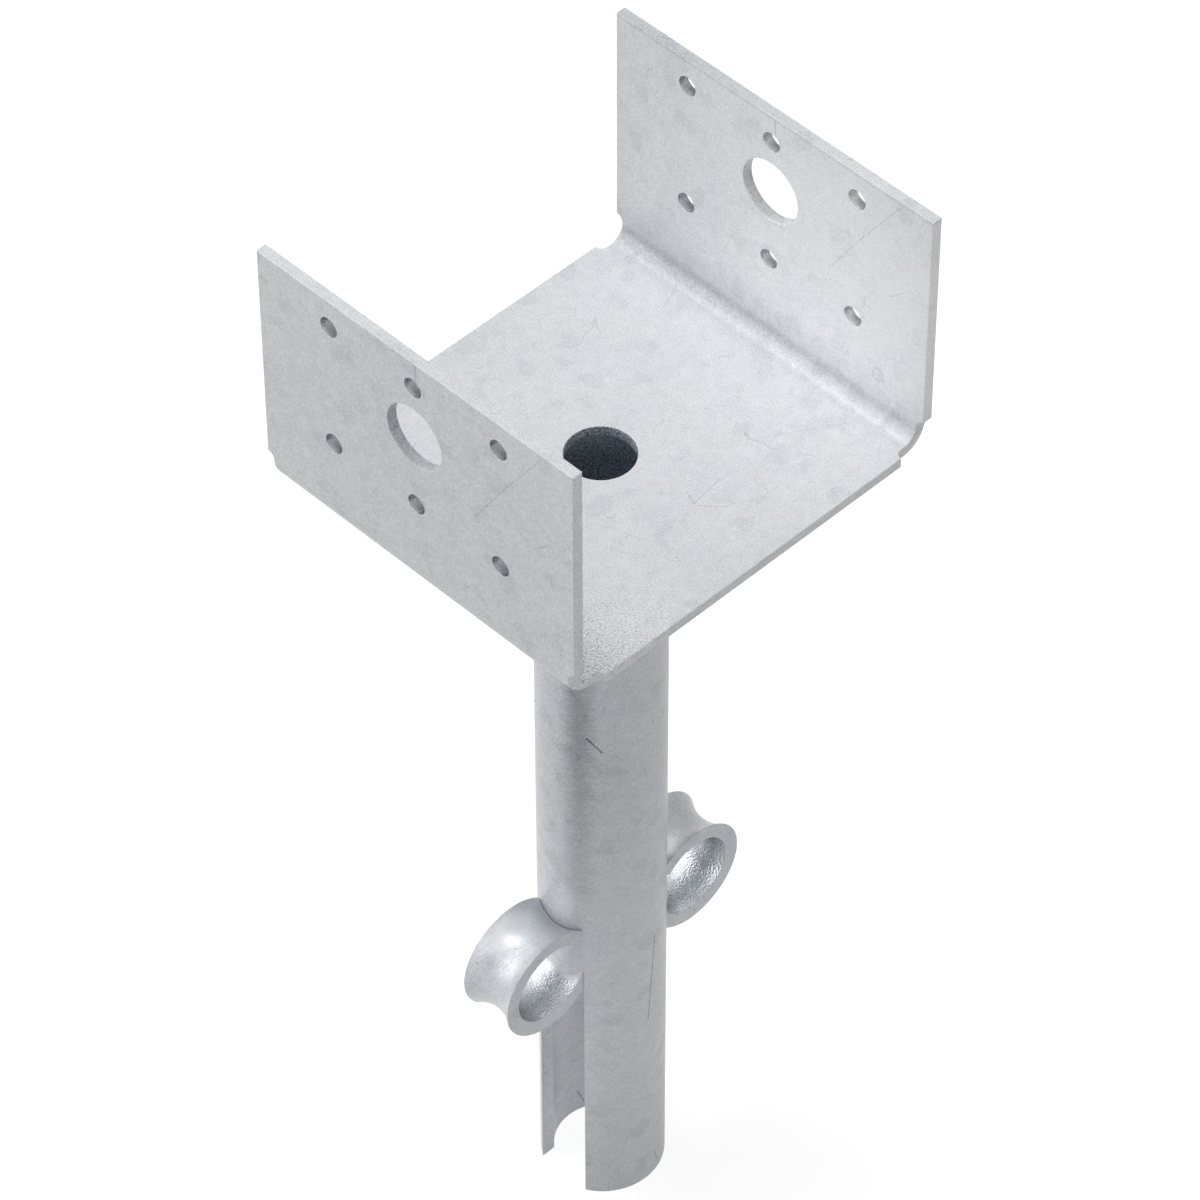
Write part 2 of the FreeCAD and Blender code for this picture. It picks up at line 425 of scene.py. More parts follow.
@dataclass(frozen=True, kw_only=True)
class LoopFaces(Area):
    """The inner or the outer faces of the loops, made shinier and smoother by the rolling die,
    and painted darker, the inner faces most: painted shade for the dark things that the
    loops reflect, such as the saddle's underside.
    """

    inside: bool
    middle: Point = (20.545, 0.0, -134.6)   # of the right loop, which the left one mirrors
    crown_radius: float = 7.85  # inside a loop, where the tab is widest open
    half_width: float = 6.2     # of the tab, just inside its sheared sides
    clear: float = 0.3          # out from the pipe's wall, where the faces begin
    fade: float = 1.6           # from there out to where they are full

    def mask(self, tree: Tree, place: Socket) -> Socket:
        """Mark out the faces.

        Args:
            tree: the material's tree.
            place: the point's place, in millimetres.

        Returns:
            A socket that gives 1 on the faces, away from the pipe's wall.
        """
        begins = PIPE_RADIUS + self.clear
        out_of_wall = add_node(tree, "ShaderNodeMapRange", {
            "Value": from_axis(tree, place), "From Min": begins, "From Max": begins + self.fade,
        }, interpolation_type="SMOOTHSTEP").outputs[0]
        positive = add_node(tree, "ShaderNodeVectorMath", {0: place}, operation="ABSOLUTE").outputs[0]
        across = add_node(tree, "ShaderNodeSeparateXYZ", {"Vector": positive}).outputs["Y"]
        on_tab = add_node(tree, "ShaderNodeMath", {
            0: across, 1: self.half_width,
        }, operation="LESS_THAN").outputs[0]
        on_loop = add_node(tree, "ShaderNodeMath", {
            0: out_of_wall, 1: on_tab,
        }, operation="MULTIPLY").outputs[0]
        return add_node(tree, "ShaderNodeMath", {
            0: on_loop, 1: self.side(tree, positive, across),
        }, operation="MULTIPLY").outputs[0]

    def side(self, tree: Tree, positive: Socket, across: Socket) -> Socket:
        """Mark this side of the rolled wall, which curves across the tab as the pipe does.

        Args:
            tree: the material's tree.
            positive: the point's place with its signs dropped, in millimetres.
            across: its distance from the middle of the tab.

        Returns:
            A socket that gives 1 on this side and 0 on the other.
        """
        flat = add_node(tree, "ShaderNodeVectorMath", {
            0: positive, 1: (1.0, 0.0, 1.0),
        }, operation="MULTIPLY").outputs[0]
        x, y, z = self.middle
        from_middle = add_node(tree, "ShaderNodeVectorMath", {
            0: flat, 1: (x, y, -z),
        }, operation="DISTANCE").outputs["Value"]
        squared = add_node(tree, "ShaderNodeMath", {0: across, 1: across}, operation="MULTIPLY").outputs[0]
        half_chord_squared = add_node(tree, "ShaderNodeMath", {
            0: PIPE_RADIUS ** 2, 1: squared,
        }, operation="SUBTRACT").outputs[0]
        half_chord = add_node(tree, "ShaderNodeMath", {0: half_chord_squared}, operation="SQRT").outputs[0]
        beyond = add_node(tree, "ShaderNodeMath", {0: from_middle, 1: half_chord}, operation="ADD").outputs[0]
        mid_wall = self.crown_radius + PIPE_RADIUS + MID_WALL
        return add_node(tree, "ShaderNodeMath", {
            0: beyond, 1: mid_wall,
        }, operation="LESS_THAN" if self.inside else "GREATER_THAN").outputs[0]


@dataclass(frozen=True, kw_only=True)
class ShadedHoleWall(Area):
    """Painted shade on the wall of a punched hole: grey and darker above its foot, where the light falls and
    no shade is painted.
    """

    spread: Spread
    middle: Point
    radius: float
    rim: float = 0.06           # how far past the hole's own wall the painted shade reaches
    up: Point = (0.0, 0.0, 1.0)  # from the lit foot towards the painted shade
    drained: float = -0.4       # how far up from its middle the lit foot ends, in radii
    fade: float = 0.5           # how far below that the foot is full, in radii

    def mask(self, tree: Tree, place: Socket) -> Socket:
        """Mark out the wall.

        Args:
            tree: the material's tree.
            place: the point's place, in millimetres.

        Returns:
            A socket that gives 1 on the wall and 0 at its foot.
        """
        offset = add_node(tree, "ShaderNodeVectorMath", {
            0: place, 1: self.middle,
        }, operation="SUBTRACT").outputs[0]
        flat = add_node(tree, "ShaderNodeVectorMath", {
            0: offset, 1: self.spread.value,
        }, operation="MULTIPLY").outputs[0]
        away = add_node(tree, "ShaderNodeVectorMath", {0: flat}, operation="LENGTH").outputs["Value"]
        within = add_node(tree, "ShaderNodeMath", {
            0: away, 1: self.radius + self.rim,
        }, operation="LESS_THAN").outputs[0]
        height = add_node(tree, "ShaderNodeVectorMath", {
            0: flat, 1: self.up,
        }, operation="DOT_PRODUCT").outputs["Value"]
        foot_end = self.drained * self.radius
        above = add_node(tree, "ShaderNodeMapRange", {
            "Value": height, "From Min": foot_end - self.fade * self.radius, "From Max": foot_end,
        }).outputs[0]
        return add_node(tree, "ShaderNodeMath", {0: within, 1: above}, operation="MULTIPLY").outputs[0]


@dataclass(frozen=True, kw_only=True)
class ShearedEdges(Area):
    """The flanges' top edges and the sheet's cut ends, left rough by the shear."""

    node: str = "saddle"
    depth: float = 0.15         # how far in from the node's own box an edge reaches

    def mask(self, tree: Tree, place: Socket) -> Socket:
        """Mark out the edges.

        Args:
            tree: the material's tree.
            place: the point's place, in millimetres.

        Returns:
            A socket that gives 1 on the edges.
        """
        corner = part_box(self.node)[1] / MM
        positive = add_node(tree, "ShaderNodeVectorMath", {0: place}, operation="ABSOLUTE").outputs[0]
        sides = add_node(tree, "ShaderNodeSeparateXYZ", {"Vector": positive})
        at_end = add_node(tree, "ShaderNodeMath", {
            0: sides.outputs["Y"], 1: corner.y - self.depth,
        }, operation="GREATER_THAN").outputs[0]
        at_top = add_node(tree, "ShaderNodeMath", {
            0: sides.outputs["Z"], 1: corner.z - self.depth,
        }, operation="GREATER_THAN").outputs[0]
        return add_node(tree, "ShaderNodeMath", {0: at_end, 1: at_top}, operation="MAXIMUM").outputs[0]


@dataclass(frozen=True)
class HotDipZinc:
    """Mild steel dipped in molten zinc, then weathered dull.

    The zinc freezes in flat crystals, which leaves a pale blue-grey skin with
    warmer clouds, duller patches, pits, hair lines and a fine orange peel. The
    weathered skin is a matt oxide, and little of the metal's own shine comes
    through it. A tone of 0 is the dull colour and a tone of 1 the bright one.
    """

    name: str
    bright: str = "#e3e6e9"
    warm: str = "#e5e6e9"       # the bright colour in the warmer clouds
    dull: str = "#b8bcc1"
    cool_filter: str = "#f2f9ff"    # what a cool area's colour is multiplied by: the blue-grey of painted shade
    tone: float = 0.85
    metallic: float = 0.06
    roughness: float = 0.38
    ripples: tuple[Ripple, ...] = (Ripple(16.0, 0.3), Ripple(2.6, 0.7, 5.0))
    cloud_size: float = 13.0
    cloud_fineness: float = 0.55
    cloud_edge: float = 0.03    # half the step of the noise over which a cloud fades
    patch_size: float = 3.6
    patch_stray: float = 0.6    # how far a patch's edge strays, in patch sizes
    patch_share: float = 0.1    # of all the crystals
    patch_edge: float = 0.04    # how far the dullness fades to each side of that share
    patch_tone: float = -0.18
    hair_spacing: float = 13.0
    hair_half_step: float = 0.004   # of the noise, which makes a hair about 0.1 mm wide
    hair_stretches: float = 3.0  # how often a hair comes and goes, in each spacing
    hair_gap_to: float = 0.56   # of the noise that picks the stretches: none up to here
    hair_full_from: float = 0.62    # and full hairs from here
    hair_tone: float = -0.35
    pit_spacing: float = 4.5
    pit_radius: float = 0.2
    pit_tone: float = -0.6
    peel_size: float = 0.42     # the real one is finer, and is drawn as coarse as it needs to show
    peel_height: float = 0.06   # of the noise's whole range, of which the peel uses about half
    speckle: float = 1.3        # how much brighter the peel's tops are than its hollows, in tone
    scratches: tuple[Scratch, ...] = ()
    areas: tuple[Area, ...] = ()

    def material(self) -> bpy.types.Material:
        """Build the finish.

        Returns:
            The material, patterned in the object's own millimetres.
        """
        material = bpy.data.materials.new(self.name)
        material.use_nodes = True
        tree = material.node_tree
        tree.nodes.clear()
        in_metres = add_node(tree, "ShaderNodeTexCoord").outputs["Object"]
        place = add_node(tree, "ShaderNodeVectorMath", {
            0: in_metres, "Scale": 1 / MM,
        }, operation="SCALE").outputs[0]
        masks = [(area, area.mask(tree, place)) for area in self.areas]

        def varied(number: str, start: float) -> Socket | float:
            """One of the finish's numbers, with what each area adds to it."""
            return add_up(tree, start, [(mask, getattr(area, number)) for area, mask in masks])

        peel = add_node(tree, "ShaderNodeTexNoise", {
            "Vector": place, "Scale": 1 / self.peel_size, "Detail": 1.0,
        }).outputs[0]
        height = add_node(tree, "ShaderNodeMath", {
            0: peel, 1: varied("peel_height", self.peel_height),
        }, operation="MULTIPLY").outputs[0]
        without_ripples = self.tone - sum(ripple.tone for ripple in self.ripples) / 2
        smooth_tone = add_up(tree, varied("tone", without_ripples), self.patterns(tree, place))
        off_middle = add_node(tree, "ShaderNodeMath", {0: peel, 1: 0.5}, operation="SUBTRACT").outputs[0]
        tone = add_node(tree, "ShaderNodeMath", {
            0: off_middle, 1: varied("speckle", self.speckle), 2: smooth_tone,
        }, operation="MULTIPLY_ADD").outputs[0]
        surface = add_node(tree, "ShaderNodeBsdfPrincipled", {
            "Base Color": self.colour(tree, place, tone, varied("cool", 0.0)),
            "Metallic": varied("metallic", self.metallic),
            "Roughness": varied("roughness", self.roughness),
            "Normal": add_node(tree, "ShaderNodeBump", {
                "Height": height, "Distance": MM,
            }).outputs["Normal"],
        })
        add_node(tree, "ShaderNodeOutputMaterial", {"Surface": surface.outputs[0]})
        return material

    def colour(self, tree: Tree, place: Socket, tone: Socket, cool: Socket | float) -> Socket:
        """Colour the skin.

        Args:
            tree: the material's tree.
            place: the point's place, in millimetres.
            tone: 0 where the skin is dull and 1 where it is bright, and past both.
            cool: how much of the cool filter lies over it.

        Returns:
            The skin's colour.
        """
        pale = add_node(tree, "ShaderNodeMix", {
            "Factor": self.clouds(tree, place),
            MIX_FROM: linear_rgba(self.bright), MIX_TO: linear_rgba(self.warm),
        }, data_type="RGBA").outputs[MIX_RESULT]
        plain = add_node(tree, "ShaderNodeMix", {
            "Factor": tone, MIX_FROM: linear_rgba(self.dull), MIX_TO: pale,
        }, data_type="RGBA", clamp_factor=False).outputs[MIX_RESULT]
        return add_node(tree, "ShaderNodeMix", {
            "Factor": cool, MIX_FROM: plain, MIX_TO: linear_rgba(self.cool_filter),
        }, data_type="RGBA", blend_type="MULTIPLY").outputs[MIX_RESULT]

    def patterns(self, tree: Tree, place: Socket) -> list[tuple[Socket, float]]:
        """Draw what makes the zinc lighter or darker all over.

        Args:
            tree: the material's tree.
            place: the point's place, in millimetres.

        Returns:
            For each pattern, its mask and its tone.
        """
        found = [(ripple.noise(tree, place), ripple.tone) for ripple in self.ripples]
        found.append((self.patches(tree, place), self.patch_tone))
        found.append((self.hairs(tree, place), self.hair_tone))
        found.append((self.pits(tree, place), self.pit_tone))
        for scratch in self.scratches:
            found += [(mask, -scratch.depth) for mask in scratch.masks(tree, place)]
        return found

    def clouds(self, tree: Tree, place: Socket) -> Socket:
        """Draw the warmer clouds, which cover about half of the skin.

        Args:
            tree: the material's tree.
            place: the point's place, in millimetres.

        Returns:
            A socket that gives 1 in a cloud.
        """
        noise = add_node(tree, "ShaderNodeTexNoise", {
            "Vector": place, "Scale": 1 / self.cloud_size, "Detail": 3.0,
            "Roughness": self.cloud_fineness,
        }).outputs[0]
        return add_node(tree, "ShaderNodeMapRange", {
            "Value": noise, "From Min": 0.5 - self.cloud_edge, "From Max": 0.5 + self.cloud_edge,
        }).outputs[0]

    def patches(self, tree: Tree, place: Socket) -> Socket:
        """Draw the duller crystals, with ragged edges.

        Args:
            tree: the material's tree.
            place: the point's place, in millimetres.

        Returns:
            A socket that gives 1 in a dull crystal.
        """
        ragged = add_node(tree, "ShaderNodeTexNoise", {
            "Vector": place, "Scale": 2 / self.patch_size, "Detail": 2.0,
        }).outputs["Color"]
        shifted = add_node(tree, "ShaderNodeVectorMath", {
            0: ragged, 1: (self.patch_size * self.patch_stray,) * 3, 2: place,
        }, operation="MULTIPLY_ADD").outputs[0]
        cells = add_node(tree, "ShaderNodeTexVoronoi", {
            "Vector": shifted, "Scale": 1 / self.patch_size,
        }).outputs["Color"]
        chance = add_node(tree, "ShaderNodeSeparateColor", {"Color": cells}).outputs[0]
        limit = 1 - self.patch_share
        return add_node(tree, "ShaderNodeMapRange", {
            "Value": chance, "From Min": limit - self.patch_edge, "From Max": limit + self.patch_edge,
        }).outputs[0]

    def hairs(self, tree: Tree, place: Socket) -> Socket:
        """Draw the fine curved hair lines, as short stretches of a noise's contour.

        Args:
            tree: the material's tree.
            place: the point's place, in millimetres.

        Returns:
            A socket that gives 1 on a hair line.
        """
        field = add_node(tree, "ShaderNodeTexNoise", {
            "Vector": place, "Scale": 1 / self.hair_spacing, "Detail": 1.0, "Distortion": 0.6,
        }).outputs[0]
        on_contour = add_node(tree, "ShaderNodeMath", {
            0: field, 1: 0.5, 2: self.hair_half_step,
        }, operation="COMPARE").outputs[0]
        where = add_node(tree, "ShaderNodeTexNoise", {
            "Vector": place, "Scale": self.hair_stretches / self.hair_spacing, "Detail": 0.0,
        }).outputs[0]
        here = add_node(tree, "ShaderNodeMapRange", {
            "Value": where, "From Min": self.hair_gap_to, "From Max": self.hair_full_from,
        }).outputs[0]
        return add_node(tree, "ShaderNodeMath", {
            0: on_contour, 1: here,
        }, operation="MULTIPLY").outputs[0]

    def pits(self, tree: Tree, place: Socket) -> Socket:
        """Draw the dark pits, one in each cell of a net, some of them faint.

        Args:
            tree: the material's tree.
            place: the point's place, in millimetres.

        Returns:
            A socket that gives up to 1 in a pit.
        """
        cells = add_node(tree, "ShaderNodeTexVoronoi", {
            "Vector": place, "Scale": 1 / self.pit_spacing,
        })
        spot = add_node(tree, "ShaderNodeMath", {
            0: cells.outputs["Distance"], 1: self.pit_radius / self.pit_spacing,
        }, operation="LESS_THAN").outputs[0]
        chance = add_node(tree, "ShaderNodeSeparateColor", {
            "Color": cells.outputs["Color"],
        }).outputs[0]
        return add_node(tree, "ShaderNodeMath", {0: spot, 1: chance}, operation="MULTIPLY").outputs[0]


def bored_wall(name: str, spread: Spread, **look: float) -> ShadedHoleWall:
    """Describe the painted shade on the wall of a bored hole of the frame's record.

    Args:
        name: the mount's name.
        spread: the surface that the hole goes through.
        look: the area's own numbers.

    Returns:
        The hole's wall.
    """
    mount = MOUNTS[name]
    middle = tuple(axis / MM for axis in mount["pos_m"])
    return ShadedHoleWall(spread=spread, middle=middle, radius=mount["dims"]["r_mm"], **look)


def nail_walls(**look: Any) -> tuple[ShadedHoleWall, ...]:
    """Describe the painted shade on the walls of the nail holes, which stand in line on both flanges.

    Args:
        look: the area's own numbers.

    Returns:
        One wall for each of the six places, from the pattern of the outer four.
    """
    corners = MOUNTS["nails_right_corners"]
    height = corners["pos_m"][2] / MM
    to_column = corners["dims"]["spacing_x_mm"] / 2
    to_row = corners["dims"]["spacing_y_mm"] / 2
    return tuple(
        ShadedHoleWall(
            spread=Spread.FLANGES, middle=(0.0, column * to_column, height + row * to_row),
            radius=corners["dims"]["hole_r_mm"], **look,
        )
        for row in (-1, 1) for column in (-1, 0, 1)
    )


# Places on the saddle, and the reaches of the areas there
FLANGE = 46.0               # from the middle out to a flange, within its sheet
FLANGE_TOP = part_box("saddle")[1].z / MM
THROUGH = 6.0               # through a flange's sheet and past both its faces
ALL_ALONG = 200.0           # past both ends of the saddle

# The saddle, folded from sheet and dipped whole: pale, with soft grey clouds
# and fine scratches, and coarse and speckled where the zinc ran off it. It also
# has painted light on the right flange, and painted shade on the left flange,
# along the right fold and on the walls of its holes
SADDLE_ZINC = HotDipZinc(
    "galvanised_saddle",
    scratches=SADDLE_SCRATCHES,
    areas=(
        # The seat's near corner, where the zinc ran off last and set coarse
        Pool(
            middle=(-45.0, -41.0, 0.0), reach=(34.0, 34.0, 1.2), tone=0.1, peel_height=0.3,
            speckle=3.6,
        ),
        # The seat along the left flange, a little coarse
        Pool(middle=(-43.0, 0.0, 0.0), reach=(18.0, 70.0, 1.5), peel_height=0.15, speckle=1.6),
        # Painted light on the right flange, brightest in its near half, for the light thrown onto it from the
        # seat
        Pool(middle=(FLANGE, -26.0, 30.0), reach=(THROUGH, 66.0, 70.0), tone=0.9),
        # Painted shade along the right fold: its pale line dimmed, a dark band above it, and how that fades
        # up
        Pool(middle=(43.2, 0.0, 0.6), reach=(4.0, ALL_ALONG, 1.1), tone=-0.2),
        Pool(middle=(45.0, 0.0, 2.2), reach=(THROUGH, ALL_ALONG, 2.3), tone=-0.65),
        Pool(middle=(45.0, 0.0, 3.0), reach=(THROUGH, ALL_ALONG, 10.0), tone=-0.4),
        # The right flange's top edge, kept out of that painted light
        Pool(middle=(FLANGE, 0.0, FLANGE_TOP), reach=(THROUGH, ALL_ALONG, 1.2), tone=-0.6),
        # Painted shade on the left flange, a little darker all over
        Pool(middle=(-FLANGE, 0.0, 20.0), reach=(THROUGH, 90.0, 90.0), tone=-0.2),
        ShearedEdges(tone=0.1, peel_height=0.06, speckle=0.3),
        # Painted shade on the walls of the bolt hole, the seat's hole and the nail holes, above each one's
        # lit foot; the seat hole's is blue-grey too
        bored_wall("post_bolt", Spread.FLANGES, fade=0.9, tone=-0.9, speckle=1.2),
        bored_wall(
            "seat_hole", Spread.SEAT, drained=-1.0, tone=-0.65, cool=1.0, peel_height=0.3,
            speckle=5.0,
        ),
    ) + nail_walls(up=(0.0, -0.5, 0.9), drained=-0.55, tone=-1.6, speckle=2.5),
)

# The pipe, drawn and dipped: a shade darker than the sheet, with a painted dark
# reflection as a band down its front, painted shade in its bore and on its loops,
# painted highlights on and above the left loop, painted light on its lower half,
# and the rolled loops shinier and smoother than the rest
PIPE_ZINC = HotDipZinc(
    "galvanised_pipe", bright="#dbdfe4", warm="#dbdde1", dull="#aaafb4", patch_tone=-0.22,
    scratches=PIPE_SCRATCHES,
    areas=(
        # Painted dark reflection: a dull band down the pipe's front, fading out towards the loops
        PaintedReflectionBand(tone=-1.05),
        # Painted shade inside the pipe, above the slots
        Bore(tone=-0.05, cool=1.0, speckle=4.0),
        # A painted highlight on the pipe's wall above the left loop's root, for the loop's bright top that
        # the wall reflects
        Pool(middle=(-13.1, -1.8, -118.0), reach=(6.0, 6.0, 9.0), tone=0.55),
        # Painted light: the pipe a little paler from its middle down, for the light that the floor throws up
        # onto it
        Pool(middle=(0.0, 0.0, -165.0), reach=(90.0, 90.0, 95.0), tone=0.5),
        # A painted highlight on the left loop's crown, the brightest spot
        Pool(middle=(-23.0, 3.0, -124.0), reach=(9.0, 6.5, 6.5), tone=2.0),
        # The loops' faces: more metallic and smoother, and darker in painted shade, the inner faces most
        LoopFaces(inside=True, tone=-0.7, metallic=0.7, roughness=-0.13, peel_height=0.08),
        LoopFaces(inside=False, tone=-0.3, metallic=0.2, roughness=-0.07, peel_height=-0.02),
    ),
)

# The bead, laid before the dip and coated with the pipe: the pipe's own greys
WELD_ZINC = HotDipZinc("galvanised_weld", bright="#dbdfe4", warm="#dbdde1", dull="#aaafb4")


def new_geometry_tree(name: str, sizes: dict[str, str]) -> tuple[Tree, dict[str, Socket]]:
    """Start a tree that makes a mesh from named sizes.

    Args:
        name: the tree's name.
        sizes: the type of socket of each named input.

    Returns:
        The tree, and the socket that gives each named size.
    """
    tree = bpy.data.node_groups.new(name, "GeometryNodeTree")
    for size, kind in sizes.items():
        tree.interface.new_socket(size, in_out="INPUT", socket_type=kind)
    tree.interface.new_socket("Mesh", in_out="OUTPUT", socket_type="NodeSocketGeometry")
    entry = add_node(tree, "NodeGroupInput")
    return tree, {size: entry.outputs[size] for size in sizes}


def finish_geometry_tree(tree: Tree, made: Socket, finish: Socket) -> None:
    """End a tree: real geometry, smooth faces, and its finish.

    Args:
        tree: the tree to end.
        made: the geometry that it has made.
        finish: the material.
    """
    real = add_node(tree, "GeometryNodeRealizeInstances", {"Geometry": made}).outputs[0]
    smooth = add_node(tree, "GeometryNodeSetShadeSmooth", {"Geometry": real}).outputs[0]
    dressed = add_node(tree, "GeometryNodeSetMaterial", {
        "Geometry": smooth, "Material": finish,
    }).outputs[0]
    add_node(tree, "NodeGroupOutput", {"Mesh": dressed})


def grow_mesh(name: str, tree: Tree, sizes: dict[str, Any]) -> bpy.types.Object:
    """Run a geometry tree once and keep its mesh.

    Args:
        name: the piece's name.
        tree: the tree that makes it.
        sizes: a value for each named input of the tree.

    Returns:
        An object at the origin that holds the plain mesh.
    """
    seed_object = bpy.data.objects.new("seed_object", bpy.data.meshes.new("seed_mesh"))
    bpy.context.scene.collection.objects.link(seed_object)
    modifier = seed_object.modifiers.new("grow", "NODES")
    modifier.node_group = tree
    for size, value in sizes.items():
        modifier[tree.interface.items_tree[size].identifier] = value
    evaluated = seed_object.evaluated_get(bpy.context.evaluated_depsgraph_get())
    mesh = bpy.data.meshes.new_from_object(evaluated)
    bpy.data.objects.remove(seed_object)
    mesh.name = name
    piece = bpy.data.objects.new(name, mesh)
    bpy.context.scene.collection.objects.link(piece)
    return piece


@dataclass
class CadPiece:
    """A piece shown as the frame has it, in a finish of its own."""

    node: str
    finish: HotDipZinc

    def dress(self) -> None:
        """Give the piece its finish."""
        frame["nodes"][self.node].material_slots[0].material = self.finish.material()
        LOG.info("%s dressed", self.node)


@dataclass
class Saddle(CadPiece):
    """The folded sheet that holds the post."""

    node: str = "saddle"
    finish: HotDipZinc = SADDLE_ZINC


@dataclass
class AnchorPipe(CadPiece):
    """The slotted pipe and its two rolled loops."""

    node: str = "anchor_pipe"
    finish: HotDipZinc = PIPE_ZINC


@dataclass
class WeldBead:
    """The rippled fillet bead that joins the pipe to the seat."""

    ripples: int = 46           # one for each drop of the weld pool
    steps: int = 6              # points along one ripple
    ripple_height: float = 0.09  # as a share of the bead's leg
    waver: float = 0.05         # how much one ripple differs from the next, as a share
    crown: float = 0.12         # how far the face bulges, as a share of the leg
    crown_points: int = 6       # that round the bulge
    seed: int = 4
    finish: HotDipZinc = WELD_ZINC

    def build(self) -> bpy.types.Object:
        """Lay the bead round the pipe, in place of the plain one.

        Returns:
            The bead's object.
        """
        low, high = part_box("weld_bead")
        leg = high.z - low.z
        bead = grow_mesh("rippled_weld_bead", self.tree(), {
            "Pipe radius": high.x - leg,
            "Level": high.z,
            "Leg": leg,
            "Crown": self.crown,
            "Ripples": self.ripples,
            "Steps": self.steps,
            "Ripple height": self.ripple_height,
            "Waver": self.waver,
            "Seed": self.seed,
            "Finish": self.finish.material(),
        })
        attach(bead, "root")
        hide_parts("weld_bead")
        LOG.info("weld bead laid, %d faces", len(bead.data.polygons))
        return bead

    def tree(self) -> Tree:
        """Sweep the bead's section round the pipe.

        Returns:
            The tree, with its sizes as named inputs.
        """
        tree, given = new_geometry_tree("weld_bead", {
            "Pipe radius": "NodeSocketFloat",
            "Level": "NodeSocketFloat",
            "Leg": "NodeSocketFloat",
            "Crown": "NodeSocketFloat",
            "Ripples": "NodeSocketInt",
            "Steps": "NodeSocketInt",
            "Ripple height": "NodeSocketFloat",
            "Waver": "NodeSocketFloat",
            "Seed": "NodeSocketInt",
            "Finish": "NodeSocketMaterial",
        })
        points = add_node(tree, "ShaderNodeMath", {
            0: given["Ripples"], 1: given["Steps"],
        }, operation="MULTIPLY").outputs[0]
        circle = add_node(tree, "GeometryNodeCurvePrimitiveCircle", {
            "Resolution": points, "Radius": given["Pipe radius"],
        }).outputs[0]
        path = add_node(tree, "GeometryNodeSetCurveNormal", {"Curve": circle}, mode="Z_UP").outputs[0]
        swept = add_node(tree, "GeometryNodeCurveToMesh", {
            "Curve": path,
            "Profile Curve": self.section(tree, given),
            "Scale": self.ripple_scale(tree, given),
        }).outputs[0]
        raised = add_node(tree, "ShaderNodeCombineXYZ", {"Z": given["Level"]}).outputs[0]
        placed = add_node(tree, "GeometryNodeTransform", {
            "Geometry": swept, "Translation": raised,
        }).outputs[0]
        finish_geometry_tree(tree, placed, given["Finish"])
        return tree

    def section(self, tree: Tree, given: dict[str, Socket]) -> Socket:
        """Draw the section: its root at the origin, a leg on the plate and one on the pipe.

        Args:
            tree: the bead's tree.
            given: the socket of each named size.

        Returns:
            The closed curve, whose long face bulges by the crown.
        """
        # A flat face would pass half a leg out from the plate and from the pipe
        bulge = add_node(tree, "ShaderNodeMath", {
            0: given["Crown"], 1: 0.5,
        }, operation="ADD").outputs[0]
        reach = add_node(tree, "ShaderNodeMath", {
            0: bulge, 1: given["Leg"],
        }, operation="MULTIPLY").outputs[0]
        on_plate = add_node(tree, "ShaderNodeCombineXYZ", {"X": given["Leg"]}).outputs[0]
        on_pipe = add_node(tree, "ShaderNodeCombineXYZ", {"Y": given["Leg"]}).outputs[0]
        crown = add_node(tree, "ShaderNodeCombineXYZ", {"X": reach, "Y": reach}).outputs[0]
        outline = add_node(tree, "GeometryNodeCurvePrimitiveQuadrilateral", {
            "Point 1": crown, "Point 2": on_pipe, "Point 3": (0.0, 0.0, 0.0), "Point 4": on_plate,
        }, mode="POINTS").outputs[0]
        corner = add_node(tree, "GeometryNodeInputIndex").outputs[0]
        at_crown = add_node(tree, "FunctionNodeCompare", {
            "A": corner, "B": 1.0,
        }, operation="LESS_THAN").outputs[0]
        radius = add_node(tree, "ShaderNodeMath", {
            0: at_crown, 1: given["Leg"],
        }, operation="MULTIPLY").outputs[0]
        return add_node(tree, "GeometryNodeFilletCurve", {
            "Curve": outline, "Count": self.crown_points, "Radius": radius, "Limit Radius": True,
        }, mode="POLY").outputs[0]

    def ripple_scale(self, tree: Tree, given: dict[str, Socket]) -> Socket:
        """Size the section along the bead: each ripple rises and runs out into the last.

        Args:
            tree: the bead's tree.
            given: the socket of each named size.

        Returns:
            The section's scale, 1 at the top of a full ripple.
        """
        way = add_node(tree, "GeometryNodeSplineParameter").outputs["Factor"]
        count = add_node(tree, "ShaderNodeMath", {
            0: way, 1: given["Ripples"],
        }, operation="MULTIPLY").outputs[0]
        phase = add_node(tree, "ShaderNodeMath", {0: count}, operation="FRACT").outputs[0]
        number = add_node(tree, "ShaderNodeMath", {0: count}, operation="FLOOR").outputs[0]
        chance = add_node(tree, "FunctionNodeRandomValue", {
            "ID": number, "Seed": given["Seed"],
        }).outputs[1]
        fall = add_node(tree, "ShaderNodeMath", {
            0: phase, 1: given["Ripple height"],
        }, operation="MULTIPLY").outputs[0]
        loss = add_node(tree, "ShaderNodeMath", {
            0: chance, 1: given["Waver"], 2: fall,
        }, operation="MULTIPLY_ADD").outputs[0]
        return add_node(tree, "ShaderNodeMath", {0: 1.0, 1: loss}, operation="SUBTRACT").outputs[0]


@dataclass(frozen=True)
class SoftBox:
    """A square lamp behind a diffuser, aimed at the middle of the object."""

    name: str
    azimuth: float
    elevation: float
    distance: float
    size: float
    level: float                # how bright it makes a white card that faces it

    def place(self, aim: Vector) -> None:
        """Set up the lamp.

        Args:
            aim: the point that it faces, in metres.
        """
        light = bpy.data.lights.new(self.name, "AREA")
        light.shape = "SQUARE"
        light.size = self.size * MM
        light.energy = self.level * math.pi ** 2 * (self.distance * MM) ** 2
        lamp = bpy.data.objects.new(self.name, light)
        bpy.context.scene.collection.objects.link(lamp)
        towards = direction(self.azimuth, self.elevation)
        lamp.location = aim + towards * self.distance * MM
        lamp.rotation_euler = towards.to_track_quat("Z", "Y").to_euler()


